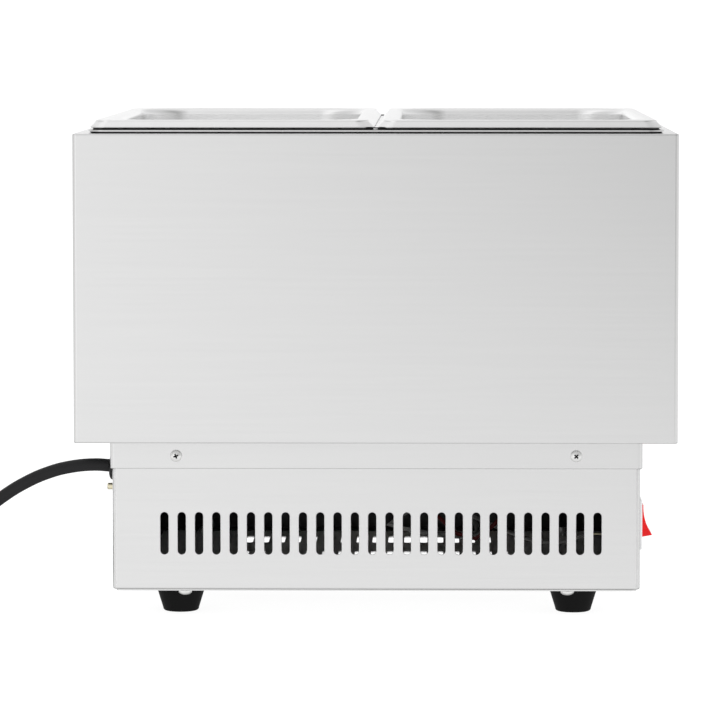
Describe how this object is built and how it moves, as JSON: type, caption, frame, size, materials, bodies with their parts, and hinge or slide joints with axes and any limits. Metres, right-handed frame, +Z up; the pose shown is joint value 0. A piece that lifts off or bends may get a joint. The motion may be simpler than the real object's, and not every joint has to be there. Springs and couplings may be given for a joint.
{
  "type": "steam table unit",
  "caption": "Countertop electric steam table: stepped brushed-steel casing on rubber feet, lift-out food pans, slotted rear vent, side rocker switch, front thermostat knob.",
  "frame": {"origin": "on the floor, under the middle of the upper casing", "axes": "+Z up, +Y towards the front with the thermostat knob, +X towards the side with the rocker switch"},
  "size_m": [0.6083, 0.346, 0.3109],
  "materials": {
    "brushed_steel": "fine horizontal brushed grain",
    "polished_steel": "bright drawn sheet",
    "zinc_plated_steel": "bright zinc plate",
    "element_sheath": "heat-darkened satin",
    "brass": "satin",
    "copper": "satin",
    "black_rubber": "matt",
    "black_plastic": "satin",
    "cream_plastic": "matt",
    "bezel_plastic": "satin",
    "red_plastic": "translucent gloss",
    "green_lens": "translucent gloss",
    "amber_lens": "translucent gloss",
    "silicone": "matt",
    "red_wire": "satin",
    "black_wire": "satin",
    "glass_sleeved_wire": "woven sleeve",
    "earth_wire": "satin"
  },
  "bodies": {
    "unit": {"outer_casing": "brushed_steel", "casing_floor": "brushed_steel", "base_shell": "brushed_steel", "bottom_plate": "brushed_steel", "heat_shield": "brushed_steel", "water_tank": "polished_steel", "tank_gasket": "silicone", "divider_bar": "polished_steel", "heating_element": "element_sheath", "element_gasket_left": "silicone", "element_gasket_right": "silicone", "element_nut_left": "brass", "element_nut_right": "brass", "thermostat_body": "cream_plastic", "dial_plate": "black_plastic", "thermostat_capillary": "copper", "thermostat_bulb": "copper", "overheat_cutout": "cream_plastic", "power_lamp": "green_lens", "heating_lamp": "amber_lens", "switch_housing": "bezel_plastic", "switch_terminal_upper": "brass", "switch_terminal_lower": "brass", "terminal_block": "cream_plastic", "earth_stud": "brass", "earth_nut": "brass", "live_wire": "red_wire", "neutral_wire": "black_wire", "element_wire": "glass_sleeved_wire", "switch_wire": "glass_sleeved_wire", "earth_wire": "earth_wire", "cord_gland": "black_plastic", "power_cord": "black_plastic", "cord_coil": "black_plastic", "cord_tail": "black_plastic", "plug_body": "black_plastic", "plug_blade_left": "brass", "plug_blade_right": "brass", "plug_earth_pin": "brass", "foot_rear_left": "black_rubber", "foot_rear_right": "black_rubber", "foot_front_left": "black_rubber", "foot_front_right": "black_rubber", "foot_screw_rear_left": "zinc_plated_steel", "foot_screw_rear_right": "zinc_plated_steel", "foot_screw_front_left": "zinc_plated_steel", "foot_screw_front_right": "zinc_plated_steel", "plate_screw_rear_left": "zinc_plated_steel", "plate_screw_rear_right": "zinc_plated_steel", "plate_screw_front_left": "zinc_plated_steel", "plate_screw_front_right": "zinc_plated_steel", "skirt_screw_rear_left": "zinc_plated_steel", "skirt_screw_rear_right": "zinc_plated_steel", "skirt_screw_front_left": "zinc_plated_steel", "skirt_screw_front_right": "zinc_plated_steel"},
    "left_food_pan": {"pan_left": "polished_steel"},
    "right_food_pan": {"pan_right": "polished_steel"},
    "knob": {"thermostat_knob": "black_plastic", "thermostat_shaft": "zinc_plated_steel"},
    "rocker": {"switch_rocker": "red_plastic"}
  },
  "joints": [
    {"name": "pan_left_lift", "type": "slide", "parent": "unit", "child": "left_food_pan", "axis": [0, 0, 1], "range_m": [0, 0.17]},
    {"name": "pan_right_lift", "type": "slide", "parent": "unit", "child": "right_food_pan", "axis": [0, 0, 1], "range_m": [0, 0.17]},
    {"name": "thermostat_knob_turn", "type": "hinge", "parent": "unit", "child": "knob", "pos_m": [0, 0.151, 0.058], "axis": [0, -1, 0], "range_deg": [0, 270]},
    {"name": "switch_rocker_tilt", "type": "hinge", "parent": "unit", "child": "rocker", "pos_m": [0.161, -0.105, 0.0545], "axis": [0, 1, 0], "range_deg": [0, 32]}
  ]
}
